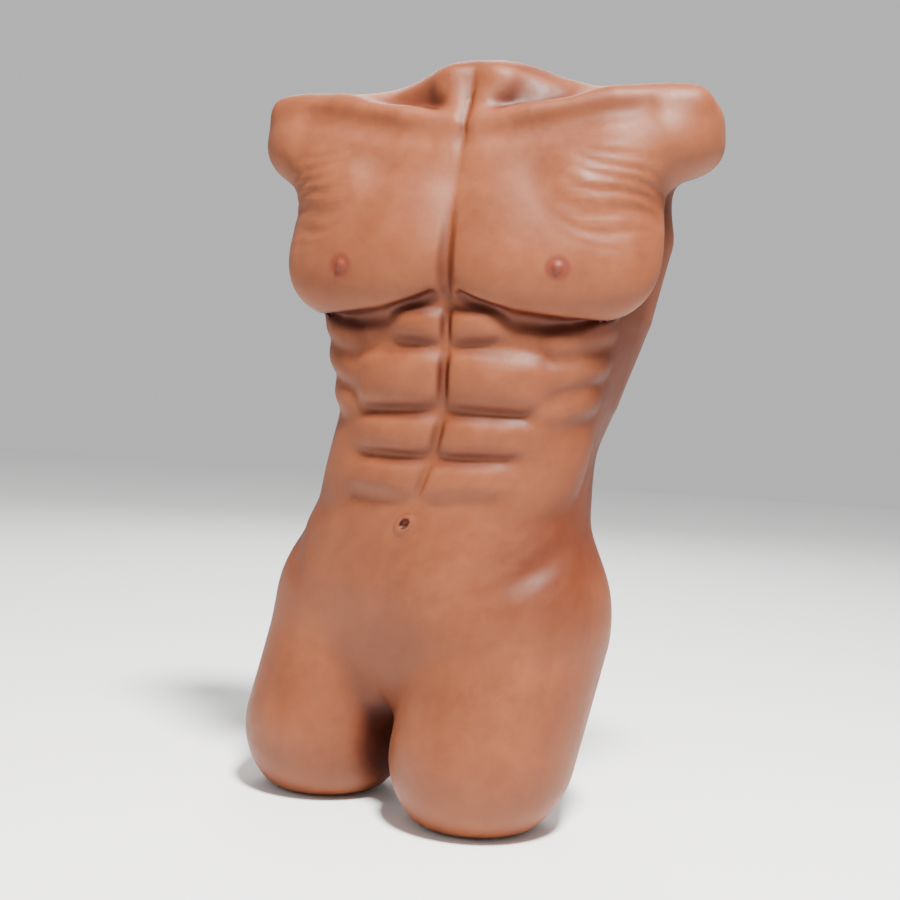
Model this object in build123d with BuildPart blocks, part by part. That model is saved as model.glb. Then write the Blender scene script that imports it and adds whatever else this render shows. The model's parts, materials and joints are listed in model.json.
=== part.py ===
from build123d import *

import os
from math import copysign, cos, pi, radians, sin, sqrt

# A headless, armless torso mannequin with short thigh stumps. A thick elastomer skin is cast over
# foam cores, which hold a bolted steel armature with a friction hinge and a swivel at the waist.
# Units are millimetres. +Z is up, the chest faces -Y and +X is the figure's own left.
# The origin is on the floor, under the middle of the box that holds the torso.

# ---- Driving dimensions ----
HEIGHT = 700
SHOULDER_WIDTH = 440
BOND_GAP = 0.8  # glue line between the skin and the foam
CHANNEL_GAP = 0.5  # room round each steel piece in its moulded channel
HIP_TWIST = -17  # degrees that the hips are turned under the chest, seen from above
TWIST_LOW, TWIST_HIGH = 170, 370  # the trunk turns between these levels
HIP_SHIFT = -36  # sideways offset of the thighs under the chest
SHIFT_LOW, SHIFT_HIGH = 150, 400  # the trunk shifts sideways between these levels
TRUNK_Y = -9.9  # the middle of the trunk stands this far in front of the origin
SPINE_BACK = 10  # the spine stands this far behind the middle of the trunk
SPINE_Y = TRUNK_Y + SPINE_BACK
SWIVEL_X = -18  # the waist swivel stands between the chest's middle and the hips' middle
BEND_Z = 352  # height of the waist hinge
BAND_BOTTOM, BAND_TOP = 292, 440  # the solid elastomer waist lies between these levels
NECK_Z = 664  # height at which the leaning spine stands under the middle of the neck

# ---- Trunk outline: level, half width, depth in front, depth behind and wall of the cast skin ----
TRUNK = [
    (135, 92, 48, 60, 18),
    (160, 136, 72, 86, 18),
    (205, 154, 88, 102, 18),
    (246, 149, 91, 92, 20),
    (292, 131, 90, 84, 22),
    (340, 124, 91, 80, 24),
    (392, 138, 98, 86, 26),
    (440, 157, 106, 92, 28),
    (500, 175, 114, 96, 29),
    (556, 177, 108, 97, 28),
    (604, 162, 82, 88, 22),
    (640, 126, 60, 74, 18),
    (664, 88, 49, 62, 18),
    (684, 60, 43, 52, 18),
    (HEIGHT, 42, 33, 40, 18),
]
SKIN = 18  # least wall of the cast skin, as on the shoulders and thighs
OUTLINE_POINTS = 16
SQUARENESS = 2.4  # exponent of the superellipse round the trunk

# ---- Shoulder stumps: distance from the middle, half depth, half height and level ----
TIP = SHOULDER_WIDTH / 2
SHOULDERS = [
    (TIP, 16, 15, 634),
    (TIP - 5, 33, 28, 634),
    (TIP - 20, 46, 39, 631),
    (TIP - 50, 53, 45, 627),
    (TIP - 100, 55, 45, 620),
    (TIP - 130, 55, 44, 619),
    (TIP - 160, 54, 42, 618),
]
SHOULDER_Y = TRUNK_Y - 4
SMALLEST_HALF = 8  # no inset shoulder outline is smaller than this
END_PRESS = 0.4  # how far the levels near an end of the trunk close up when its surface is moved inward

# ---- Thigh stumps ----
HIP_HALF_SPAN = 84
HIP_Z = 176
HIP_BACK = 19  # the hip centre lies this far behind the middle of the trunk
HIP_RADIUS = 92
STUMP_RADIUS = 82
STUMP_FLAT = 15  # depth that the floor flattens off each stump's dome
THIGH_FLEX = 15  # degrees forward of straight down
THIGH_SPREAD = 3  # degrees outward
THIGH_LEAN = 5  # degrees that both thighs lean to the figure's right

# ---- Tube stock: outer and inner radius ----
SPINE_OUTER, SPINE_INNER = 13.5, 11
BAR_OUTER, BAR_INNER = 11, 9
THIGH_OUTER, THIGH_INNER = 10, 8

# ---- Waist hinge, measured from its centre ----
PIVOT_RADIUS = 6
RUNNING = 0.05  # radial room in a turning fit
EYE_RADIUS = 18
EYE_HALF = 13
FRICTION_DISC = 2
DISC_RADIUS = 15
CHEEK_INNER = EYE_HALF + FRICTION_DISC
CHEEK_OUTER = CHEEK_INNER + 6
CHEEK_HALF_WIDTH = 16
BRIDGE_LOW, BRIDGE_HIGH = 40, 48
CUT_SPARE = 1  # room that a cutting block has over the width it clears
SPIGOT = 20  # length of the spigot inside the foot of the spine tube
WASHER_RADIUS, WASHER = 12, 2.5
HINGE_HEAD, HINGE_NUT = 7.5, 12
HINGE_FLATS = 19
HINGE_THREAD_OUT = 2  # thread showing past the nut
HINGE_CHAMFER = 1

# ---- Waist swivel, by height above the floor ----
SHAFT_RADIUS, THREAD_RADIUS = 10, 8
PLATE_LOW, PLATE_HIGH = 250, 258
FLANGE_HIGH = PLATE_HIGH + 6
SOCKET_HIGH = 306
SOCKET_RADIUS = 19
BUSH_RADIUS = 13
BUSH_FLANGE = 3
COLLAR_HIGH = SOCKET_HIGH + BUSH_FLANGE + 6
COLLAR_RADIUS = 17
NECK_HALF = 11  # half width of the square neck between the collar and the eye
SWIVEL_WASHER_RADIUS, SWIVEL_WASHER = 15, 2.5
SWIVEL_NUT = 13
SWIVEL_FLATS = 24
SWIVEL_THREAD_OUT = 3
SHAFT_ROOM = 0.5  # radial room round the shaft in the bracket's plate
SHAFT_STEP = PLATE_LOW + 1  # the shaft steps down to its thread here, inside the plate
SHAFT_LOW = PLATE_LOW - SWIVEL_WASHER - SWIVEL_NUT - SWIVEL_THREAD_OUT

# ---- Pelvis bracket and bars ----
PELVIS_BAR_Z = 212
PELVIS_BAR_HALF = 100
LEG_INNER, LEG_OUTER = 34, 40
PLATE_HALF_DEPTH = 22
LEG_LOW = PELVIS_BAR_Z - 17
FLANGE_HALF = (30, 20)
FLANGE_BOLTS = (22, 14)
FLANGE_CORNER = 5
THIGH_TUBE_SPAN = 84  # the thigh tubes leave the bar this far from the hips' middle
STUMP_PLATE_RADIUS, STUMP_PLATE = 40, 5
STUMP_PLATE_ROUND = 1.5
INSERT_LENGTH = 24
SCREW_RADIUS, SCREW_LENGTH = 4, 18
SCREW_HEAD_RADIUS, SCREW_HEAD = 7, 4

# ---- Shoulder bar, its clamp and the neck ----
SHOULDER_BAR_Z = 624
SHOULDER_BAR_HALF = 146
BAR_AHEAD = SPINE_OUTER + BAR_OUTER + 2  # the bar's centre stands this far in front of the spine's
CLAMP_HALF = (26, 22)
CLAMP_WALL = 4
CLAMP_CORNER = 4
CLAMP_SPLIT = 0.5  # half the gap between the clamp's pieces
CLAMP_BOLTS = (20, 16.5)
CAP_RADIUS, CAP_LENGTH, CAP_END = 14, 32, 6
NECK_PLATE_RADIUS, NECK_PLATE = 27, 4
NECK_PLATE_ROUND = 1
NECK_PLATE_DOWN = 10  # from the top of the spine tube to the underside of the plate
PLUG_CAP, PLUG_LENGTH = 3, 14

# ---- M6 bolts ----
BOLT_RADIUS = 3
BOLT_HOLE = 3.3
BOLT_FLATS = 10
BOLT_HEAD, BOLT_NUT = 4, 6
BOLT_THREAD_OUT = 2

# ---- Sleeve that keeps the elastomer off the waist joint ----
SLEEVE_INNER, SLEEVE_OUTER = 41, 45


def smooth(level, low, high):
    """0 at and under low, 1 at and over high, smooth between."""
    share = min(1, max(0, (level - low) / (high - low)))
    return share * share * (3 - 2 * share)


def body_plane(level):
    """A level plane on the trunk's middle, which turns and shifts towards the hips. X is the body's left."""
    angle = radians(HIP_TWIST * (1 - smooth(level, TWIST_LOW, TWIST_HIGH)))
    shift = HIP_SHIFT * (1 - smooth(level, SHIFT_LOW, SHIFT_HIGH))
    x_dir = Vector(cos(angle), sin(angle), 0)
    y_dir = Vector(-sin(angle), cos(angle), 0)
    middle = Vector(shift, SPINE_Y, level) - y_dir * SPINE_BACK
    return Plane(origin=middle, x_dir=x_dir, z_dir=(0, 0, 1))


HIPS = body_plane(0)
SIDES = {"left": 1, "right": -1}


def hip_centre(side):
    across = HIPS.x_dir * side * HIP_HALF_SPAN
    return HIPS.origin + across + HIPS.y_dir * HIP_BACK + Vector(0, 0, HIP_Z)


def thigh_axis(side):
    """Unit vector down a thigh: side is 1 for the figure's left and -1 for its right."""
    forward = sin(radians(THIGH_FLEX))
    left = side * sin(radians(THIGH_SPREAD)) - sin(radians(THIGH_LEAN))
    down = sqrt(1 - forward**2 - left**2)
    return HIPS.x_dir * left - HIPS.y_dir * forward - Vector(0, 0, down)


def thigh_length(side):
    """From the hip centre to the centre of the stump's dome, which the floor flattens a little."""
    return (HIP_Z - STUMP_RADIUS + STUMP_FLAT) / -thigh_axis(side).Z


def stump_centre(side):
    return hip_centre(side) + thigh_axis(side) * thigh_length(side)


def profile_plane(origin, axis):
    """Holds a line through origin as its Y, so that a profile drawn on it can be revolved about that line."""
    radial = HIPS.y_dir.cross(axis).normalized()
    return Plane(origin=origin, x_dir=radial, z_dir=radial.cross(axis))


def trunk_points(half_width, front, back):
    """Superellipse round one level of the trunk."""
    points = []
    for step in range(OUTLINE_POINTS):
        turn = 2 * pi * step / OUTLINE_POINTS
        depth = back if sin(turn) > 0 else front
        across = copysign(abs(cos(turn)) ** (2 / SQUARENESS), cos(turn)) * half_width
        along = copysign(abs(sin(turn)) ** (2 / SQUARENESS), sin(turn)) * depth
        points.append((across, along))
    return points


def body_form(inset):
    """The whole body as one solid, its surface moved inward by inset and by more where the wall is thicker."""
    bottom = TRUNK[0][0]
    with BuildPart() as form:
        for level, half_width, front, back, wall in TRUNK:
            raised = bottom + inset + END_PRESS * (level - bottom)
            lowered = HEIGHT - inset - END_PRESS * (HEIGHT - level)
            inward = inset + wall - SKIN if inset else 0
            with BuildSketch(body_plane(min(max(level, raised), lowered) if inset else level)):
                with BuildLine():
                    Spline(*trunk_points(half_width - inward, front - inward, back - inward), periodic=True)
                make_face()
        loft()
        for side in SIDES.values():
            for distance, depth, height, level in SHOULDERS:
                reach = side * (distance - inset)
                flank = Plane(origin=(reach, SHOULDER_Y, level), x_dir=(0, 1, 0), z_dir=(side, 0, 0))
                with BuildSketch(flank):
                    Ellipse(max(depth - inset, SMALLEST_HALF), max(height - inset, SMALLEST_HALF))
            loft()
        for side in SIDES.values():
            length = thigh_length(side)
            hip, stump = HIP_RADIUS - inset, STUMP_RADIUS - inset
            with BuildSketch(profile_plane(hip_centre(side), thigh_axis(side))):
                with BuildLine():
                    Line((0, -hip), (0, length + stump))
                    CenterArc((0, 0), hip, -90, 90)
                    Line((hip, 0), (stump, length))
                    CenterArc((0, length), stump, 0, 90)
                make_face()
            revolve(axis=Axis(hip_centre(side), thigh_axis(side)))
        split(bisect_by=Plane.XY.offset(inset), keep=Keep.TOP)
    return form.part


# ---- Planes of the armature ----
HINGE = Vector(SWIVEL_X, SPINE_Y, BEND_Z)
SPINE = Plane(
    origin=HINGE,
    x_dir=Vector(NECK_Z - BEND_Z, 0, SWIVEL_X),
    z_dir=Vector(-SWIVEL_X, 0, NECK_Z - BEND_Z),
)
ACROSS_HINGE = Plane(origin=HINGE, x_dir=SPINE.y_dir, z_dir=SPINE.x_dir)
SPINE_LENGTH = (NECK_Z - BEND_Z) / SPINE.z_dir.Z
SWIVEL = Plane(origin=(SWIVEL_X, SPINE_Y, 0), x_dir=HIPS.x_dir, z_dir=(0, 0, 1))


def along_hips(distance):
    """Upright plane across the pelvis bar, this far to the left of the hips' middle."""
    across = (HIPS.origin - SWIVEL.origin).dot(SWIVEL.x_dir) + distance
    origin = SWIVEL.origin + SWIVEL.x_dir * across + Vector(0, 0, PELVIS_BAR_Z)
    return Plane(origin=origin, x_dir=SWIVEL.y_dir, z_dir=SWIVEL.x_dir)


BAR_CENTRE = HINGE + SPINE.z_dir * ((SHOULDER_BAR_Z - BEND_Z) / SPINE.z_dir.Z) - Vector(0, BAR_AHEAD, 0)
CLAMP = Plane(origin=BAR_CENTRE + Vector(0, BAR_AHEAD, 0), x_dir=(1, 0, 0), z_dir=(0, -1, 0))


def bar_plane(x):
    """Plane across the shoulder bar at this distance to the left of the chest's middle."""
    return Plane(origin=(x, BAR_CENTRE.Y, BAR_CENTRE.Z), x_dir=(0, 1, 0), z_dir=(1, 0, 0))


def tube_foot(side):
    """Where the axis of a thigh tube meets the axis of the pelvis bar."""
    return along_hips(side * THIGH_TUBE_SPAN).origin


def tube_plane(side, beyond=0):
    """Plane across a thigh tube, beyond the end that meets the stump plate."""
    axis = (stump_centre(side) - tube_foot(side)).normalized()
    return Plane(origin=stump_centre(side) + axis * beyond, x_dir=HIPS.x_dir, z_dir=axis)


def tube_length(side):
    return (stump_centre(side) - tube_foot(side)).length


def hexagon_radius(across_flats):
    """Distance from the middle to a corner."""
    return across_flats / sqrt(3)


def corners(half_width, half_height):
    """The four corners of a rectangle, as positions for bolts."""
    return [(x, y) for x in (-half_width, half_width) for y in (-half_height, half_height)]


# ---- Chest armature ----
with BuildPart() as waist_fork:
    with BuildSketch(ACROSS_HINGE.offset(-CHEEK_OUTER)):
        Circle(CHEEK_HALF_WIDTH)
        with Locations((0, BRIDGE_HIGH / 2)):
            Rectangle(2 * CHEEK_HALF_WIDTH, BRIDGE_HIGH)
        Circle(PIVOT_RADIUS + RUNNING, mode=Mode.SUBTRACT)
    extrude(amount=2 * CHEEK_OUTER)
    with BuildSketch(ACROSS_HINGE.offset(-CHEEK_INNER)):
        with Locations((0, BRIDGE_LOW / 2 - CHEEK_HALF_WIDTH)):
            Rectangle(2 * CHEEK_HALF_WIDTH + CUT_SPARE, BRIDGE_LOW + 2 * CHEEK_HALF_WIDTH)
    extrude(amount=2 * CHEEK_INNER, mode=Mode.SUBTRACT)
    with BuildSketch(SPINE.offset(BRIDGE_HIGH)):
        Circle(SPINE_INNER)
    extrude(amount=SPIGOT)

with BuildPart() as spine_tube:
    with BuildSketch(SPINE.offset(BRIDGE_HIGH)):
        Circle(SPINE_OUTER)
        Circle(SPINE_INNER, mode=Mode.SUBTRACT)
    extrude(amount=SPINE_LENGTH - BRIDGE_HIGH)

with BuildPart() as spine_plug:
    with BuildSketch(SPINE.offset(SPINE_LENGTH - PLUG_LENGTH)):
        Circle(SPINE_INNER)
    extrude(amount=PLUG_LENGTH)
    with BuildSketch(SPINE.offset(SPINE_LENGTH)):
        Circle(SPINE_OUTER)
    extrude(amount=PLUG_CAP)
    fillet(spine_plug.faces().sort_by(Axis(HINGE, SPINE.z_dir))[-1].edges(), PLUG_CAP / 2)

with BuildPart() as neck_plate:
    with BuildSketch(SPINE.offset(SPINE_LENGTH - NECK_PLATE_DOWN)):
        Circle(NECK_PLATE_RADIUS)
        Circle(SPINE_OUTER, mode=Mode.SUBTRACT)
    extrude(amount=NECK_PLATE)
    fillet(neck_plate.edges().filter_by(GeomType.CIRCLE).group_by(SortBy.RADIUS)[-1], NECK_PLATE_ROUND)

with BuildPart() as shoulder_bar:
    with BuildSketch(bar_plane(-SHOULDER_BAR_HALF)):
        Circle(BAR_OUTER)
        Circle(BAR_INNER, mode=Mode.SUBTRACT)
    extrude(amount=2 * SHOULDER_BAR_HALF)

caps = {}
for name, side in SIDES.items():
    with BuildPart() as cap:
        with BuildSketch(bar_plane(side * (SHOULDER_BAR_HALF + CAP_END))):
            Circle(CAP_RADIUS)
        extrude(amount=-side * CAP_LENGTH)
        fillet(cap.faces().sort_by(Axis.X)[-1 if side > 0 else 0].edges(), CAP_END)
        with BuildSketch(bar_plane(side * SHOULDER_BAR_HALF)):
            Circle(BAR_OUTER)
        extrude(amount=-side * CAP_LENGTH, mode=Mode.SUBTRACT)
    caps[name + "_shoulder_cap"] = cap

# ---- Cross clamp: a rear cap behind the spine, a saddle, and a front cap before the shoulder bar ----
CLAMP_REAR = -SPINE_OUTER - CLAMP_WALL
CLAMP_FRONT = BAR_AHEAD + BAR_OUTER + CLAMP_WALL
clamps = {}
for name, back, front in (
    ("cross_clamp_rear", CLAMP_REAR, -CLAMP_SPLIT),
    ("cross_clamp_saddle", CLAMP_SPLIT, BAR_AHEAD - CLAMP_SPLIT),
    ("cross_clamp_front", BAR_AHEAD + CLAMP_SPLIT, CLAMP_FRONT),
):
    with BuildPart() as clamp:
        with BuildSketch(CLAMP.offset(back)):
            RectangleRounded(2 * CLAMP_HALF[0], 2 * CLAMP_HALF[1], CLAMP_CORNER)
            with Locations(*corners(*CLAMP_BOLTS)):
                Circle(BOLT_HOLE, mode=Mode.SUBTRACT)
        extrude(amount=front - back)
        with BuildSketch(SPINE.offset(BRIDGE_HIGH)):
            Circle(SPINE_OUTER)
        extrude(amount=SPINE_LENGTH, mode=Mode.SUBTRACT)
        with BuildSketch(bar_plane(-SHOULDER_BAR_HALF)):
            Circle(BAR_OUTER)
        extrude(amount=2 * SHOULDER_BAR_HALF, mode=Mode.SUBTRACT)
    clamps[name] = clamp

with BuildPart() as cross_clamp_bolts:
    with BuildSketch(CLAMP.offset(CLAMP_REAR - BOLT_NUT - BOLT_THREAD_OUT)):
        with Locations(*corners(*CLAMP_BOLTS)):
            Circle(BOLT_RADIUS)
    extrude(amount=CLAMP_FRONT - CLAMP_REAR + BOLT_NUT + BOLT_THREAD_OUT)
    with BuildSketch(CLAMP.offset(CLAMP_FRONT)):
        with Locations(*corners(*CLAMP_BOLTS)):
            RegularPolygon(hexagon_radius(BOLT_FLATS), 6)
    extrude(amount=BOLT_HEAD)

with BuildPart() as cross_clamp_nuts:
    with BuildSketch(CLAMP.offset(CLAMP_REAR - BOLT_NUT)):
        with Locations(*corners(*CLAMP_BOLTS)):
            RegularPolygon(hexagon_radius(BOLT_FLATS), 6)
            Circle(BOLT_RADIUS, mode=Mode.SUBTRACT)
    extrude(amount=BOLT_NUT)

# ---- Waist hinge ----
with BuildPart() as hinge_bolt:
    with BuildSketch(ACROSS_HINGE.offset(CHEEK_OUTER + WASHER)):
        RegularPolygon(hexagon_radius(HINGE_FLATS), 6)
    extrude(amount=HINGE_HEAD)
    with BuildSketch(ACROSS_HINGE.offset(CHEEK_OUTER + WASHER)):
        Circle(PIVOT_RADIUS)
    extrude(amount=-2 * (CHEEK_OUTER + WASHER) - HINGE_NUT - HINGE_THREAD_OUT)
    chamfer(hinge_bolt.faces().sort_by(Axis(HINGE, SPINE.x_dir))[0].edges(), HINGE_CHAMFER)

with BuildPart() as hinge_nut:
    with BuildSketch(ACROSS_HINGE.offset(-CHEEK_OUTER - WASHER)):
        RegularPolygon(hexagon_radius(HINGE_FLATS), 6)
        Circle(PIVOT_RADIUS, mode=Mode.SUBTRACT)
    extrude(amount=-HINGE_NUT)

with BuildPart() as hinge_washers:
    for near in (CHEEK_OUTER, -CHEEK_OUTER - WASHER):
        with BuildSketch(ACROSS_HINGE.offset(near)):
            Circle(WASHER_RADIUS)
            Circle(PIVOT_RADIUS + RUNNING, mode=Mode.SUBTRACT)
        extrude(amount=WASHER)

with BuildPart() as friction_discs:
    for near in (EYE_HALF + RUNNING, -CHEEK_INNER):
        with BuildSketch(ACROSS_HINGE.offset(near)):
            Circle(DISC_RADIUS)
            Circle(PIVOT_RADIUS + RUNNING, mode=Mode.SUBTRACT)
        extrude(amount=FRICTION_DISC - RUNNING)

# ---- Waist knuckle: the hinge's eye on top of the swivel's shaft ----
UPRIGHT = Plane(origin=SWIVEL.origin)
with BuildPart() as waist_knuckle:
    with BuildSketch(ACROSS_HINGE.offset(-EYE_HALF)):
        Circle(EYE_RADIUS)
    extrude(amount=2 * EYE_HALF)
    with BuildSketch(UPRIGHT.offset(COLLAR_HIGH)):
        Rectangle(2 * NECK_HALF, 2 * NECK_HALF)
    extrude(amount=BEND_Z - COLLAR_HIGH)
    with BuildSketch(UPRIGHT.offset(SOCKET_HIGH + BUSH_FLANGE)):
        Circle(COLLAR_RADIUS)
    extrude(amount=COLLAR_HIGH - SOCKET_HIGH - BUSH_FLANGE)
    with BuildSketch(UPRIGHT.offset(SHAFT_STEP)):
        Circle(SHAFT_RADIUS)
    extrude(amount=SOCKET_HIGH + BUSH_FLANGE - SHAFT_STEP)
    with BuildSketch(UPRIGHT.offset(SHAFT_LOW)):
        Circle(THREAD_RADIUS)
    extrude(amount=SHAFT_STEP - SHAFT_LOW)
    with BuildSketch(ACROSS_HINGE.offset(-EYE_HALF)):
        Circle(PIVOT_RADIUS + RUNNING)
    extrude(amount=2 * EYE_HALF, mode=Mode.SUBTRACT)

with BuildPart() as swivel_washer:
    with BuildSketch(UPRIGHT.offset(PLATE_LOW - SWIVEL_WASHER)):
        Circle(SWIVEL_WASHER_RADIUS)
        Circle(THREAD_RADIUS, mode=Mode.SUBTRACT)
    extrude(amount=SWIVEL_WASHER)

with BuildPart() as swivel_nut:
    with BuildSketch(UPRIGHT.offset(PLATE_LOW - SWIVEL_WASHER - SWIVEL_NUT)):
        RegularPolygon(hexagon_radius(SWIVEL_FLATS), 6)
        Circle(THREAD_RADIUS, mode=Mode.SUBTRACT)
    extrude(amount=SWIVEL_NUT)

# ---- Hip armature ----
with BuildPart() as swivel_bush:
    with BuildSketch(SWIVEL.offset(PLATE_HIGH)):
        Circle(BUSH_RADIUS)
    extrude(amount=SOCKET_HIGH - PLATE_HIGH)
    with BuildSketch(SWIVEL.offset(SOCKET_HIGH)):
        Circle(SOCKET_RADIUS)
    extrude(amount=BUSH_FLANGE)
    with BuildSketch(SWIVEL.offset(PLATE_HIGH)):
        Circle(SHAFT_RADIUS + RUNNING)
    extrude(amount=SOCKET_HIGH + BUSH_FLANGE - PLATE_HIGH, mode=Mode.SUBTRACT)

with BuildPart() as swivel_socket:
    with BuildSketch(SWIVEL.offset(PLATE_HIGH)):
        RectangleRounded(2 * FLANGE_HALF[0], 2 * FLANGE_HALF[1], FLANGE_CORNER)
        with Locations(*corners(*FLANGE_BOLTS)):
            Circle(BOLT_HOLE, mode=Mode.SUBTRACT)
    extrude(amount=FLANGE_HIGH - PLATE_HIGH)
    with BuildSketch(SWIVEL.offset(PLATE_HIGH)):
        Circle(SOCKET_RADIUS)
    extrude(amount=SOCKET_HIGH - PLATE_HIGH)
    with BuildSketch(SWIVEL.offset(PLATE_HIGH)):
        Circle(BUSH_RADIUS)
    extrude(amount=SOCKET_HIGH - PLATE_HIGH, mode=Mode.SUBTRACT)

with BuildPart() as pelvis_bracket:
    with BuildSketch(SWIVEL.offset(PLATE_LOW)):
        Rectangle(2 * LEG_OUTER, 2 * PLATE_HALF_DEPTH)
        with Locations(*corners(*FLANGE_BOLTS)):
            Circle(BOLT_HOLE, mode=Mode.SUBTRACT)
        Circle(SHAFT_RADIUS + SHAFT_ROOM, mode=Mode.SUBTRACT)
    extrude(amount=PLATE_HIGH - PLATE_LOW)
    with BuildSketch(SWIVEL.offset(LEG_LOW)):
        for side in SIDES.values():
            with Locations((side * (LEG_INNER + LEG_OUTER) / 2, 0)):
                Rectangle(LEG_OUTER - LEG_INNER, 2 * PLATE_HALF_DEPTH)
    extrude(amount=PLATE_LOW - LEG_LOW)
    with BuildSketch(along_hips(-PELVIS_BAR_HALF)):
        Circle(BAR_OUTER)
    extrude(amount=2 * PELVIS_BAR_HALF, mode=Mode.SUBTRACT)

with BuildPart() as pelvis_bar:
    with BuildSketch(along_hips(-PELVIS_BAR_HALF)):
        Circle(BAR_OUTER)
        Circle(BAR_INNER, mode=Mode.SUBTRACT)
    extrude(amount=2 * PELVIS_BAR_HALF)

with BuildPart() as pelvis_bolts:
    with BuildSketch(SWIVEL.offset(PLATE_LOW - BOLT_NUT - BOLT_THREAD_OUT)):
        with Locations(*corners(*FLANGE_BOLTS)):
            Circle(BOLT_RADIUS)
    extrude(amount=FLANGE_HIGH - PLATE_LOW + BOLT_NUT + BOLT_THREAD_OUT)
    with BuildSketch(SWIVEL.offset(FLANGE_HIGH)):
        with Locations(*corners(*FLANGE_BOLTS)):
            RegularPolygon(hexagon_radius(BOLT_FLATS), 6)
    extrude(amount=BOLT_HEAD)

with BuildPart() as pelvis_nuts:
    with BuildSketch(SWIVEL.offset(PLATE_LOW - BOLT_NUT)):
        with Locations(*corners(*FLANGE_BOLTS)):
            RegularPolygon(hexagon_radius(BOLT_FLATS), 6)
            Circle(BOLT_RADIUS, mode=Mode.SUBTRACT)
    extrude(amount=BOLT_NUT)

legs = {}
for name, side in SIDES.items():
    with BuildPart() as thigh_tube:
        with BuildSketch(tube_plane(side, -tube_length(side))):
            Circle(THIGH_OUTER)
            Circle(THIGH_INNER, mode=Mode.SUBTRACT)
        extrude(amount=tube_length(side))
        with BuildSketch(along_hips(-PELVIS_BAR_HALF)):
            Circle(BAR_OUTER)
        extrude(amount=2 * PELVIS_BAR_HALF, mode=Mode.SUBTRACT)
    legs[name + "_thigh_tube"] = thigh_tube

    with BuildPart() as stump_plate:
        with BuildSketch(tube_plane(side)):
            Circle(STUMP_PLATE_RADIUS)
            Circle(SCREW_RADIUS, mode=Mode.SUBTRACT)
        extrude(amount=STUMP_PLATE)
        fillet(stump_plate.edges().filter_by(GeomType.CIRCLE).group_by(SortBy.RADIUS)[-1], STUMP_PLATE_ROUND)
    legs[name + "_stump_plate"] = stump_plate

with BuildPart() as thigh_inserts:
    for side in SIDES.values():
        with BuildSketch(tube_plane(side, -INSERT_LENGTH)):
            Circle(THIGH_INNER)
            Circle(SCREW_RADIUS, mode=Mode.SUBTRACT)
        extrude(amount=INSERT_LENGTH)

with BuildPart() as stump_screws:
    for side in SIDES.values():
        with BuildSketch(tube_plane(side, STUMP_PLATE - SCREW_LENGTH)):
            Circle(SCREW_RADIUS)
        extrude(amount=SCREW_LENGTH)
        with BuildSketch(tube_plane(side, STUMP_PLATE)):
            Circle(SCREW_HEAD_RADIUS)
        extrude(amount=SCREW_HEAD)

# ---- Soft parts ----
OUTER = body_form(0)
INNER = body_form(SKIN)
CORE = body_form(SKIN + BOND_GAP)

with BuildPart() as chest_skin:
    add(OUTER)
    split(bisect_by=Plane.XY.offset(BAND_TOP), keep=Keep.TOP)
    add(INNER, mode=Mode.SUBTRACT)

with BuildPart() as hip_skin:
    add(OUTER)
    split(bisect_by=Plane.XY.offset(BAND_BOTTOM), keep=Keep.BOTTOM)
    add(INNER, mode=Mode.SUBTRACT)

with BuildPart() as waist_skin:
    add(OUTER)
    split(bisect_by=Plane.XY.offset(BAND_BOTTOM), keep=Keep.TOP)
    split(bisect_by=Plane.XY.offset(BAND_TOP), keep=Keep.BOTTOM)
    with BuildSketch(UPRIGHT.offset(BAND_BOTTOM)):
        Circle(SLEEVE_OUTER + BOND_GAP)
    extrude(amount=BAND_TOP - BAND_BOTTOM, mode=Mode.SUBTRACT)

with BuildPart() as joint_sleeve:
    with BuildSketch(UPRIGHT.offset(BAND_BOTTOM)):
        Circle(SLEEVE_OUTER)
        Circle(SLEEVE_INNER, mode=Mode.SUBTRACT)
    extrude(amount=BAND_TOP - BAND_BOTTOM)

with BuildPart() as chest_foam_core:
    add(CORE)
    split(bisect_by=Plane.XY.offset(BAND_TOP), keep=Keep.TOP)
    with BuildSketch(SPINE):
        Circle(SPINE_OUTER + CHANNEL_GAP)
    extrude(amount=SPINE_LENGTH + PLUG_CAP + CHANNEL_GAP, mode=Mode.SUBTRACT)
    with BuildSketch(SPINE.offset(SPINE_LENGTH - NECK_PLATE_DOWN - CHANNEL_GAP)):
        Circle(NECK_PLATE_RADIUS + CHANNEL_GAP)
    extrude(amount=NECK_PLATE + 2 * CHANNEL_GAP, mode=Mode.SUBTRACT)
    with BuildSketch(bar_plane(-SHOULDER_BAR_HALF)):
        Circle(BAR_OUTER + CHANNEL_GAP)
    extrude(amount=2 * SHOULDER_BAR_HALF, mode=Mode.SUBTRACT)
    for side in SIDES.values():
        with BuildSketch(bar_plane(side * (SHOULDER_BAR_HALF + CAP_END + CHANNEL_GAP))):
            Circle(CAP_RADIUS + CHANNEL_GAP)
        extrude(amount=-side * (CAP_LENGTH + 2 * CHANNEL_GAP), mode=Mode.SUBTRACT)
    with BuildSketch(CLAMP.offset(CLAMP_REAR - BOLT_NUT - BOLT_THREAD_OUT - CHANNEL_GAP)):
        Rectangle(2 * (CLAMP_HALF[0] + CHANNEL_GAP), 2 * (CLAMP_HALF[1] + CHANNEL_GAP))
    extrude(
        amount=CLAMP_FRONT - CLAMP_REAR + BOLT_NUT + BOLT_THREAD_OUT + BOLT_HEAD + 2 * CHANNEL_GAP,
        mode=Mode.SUBTRACT,
    )

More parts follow.
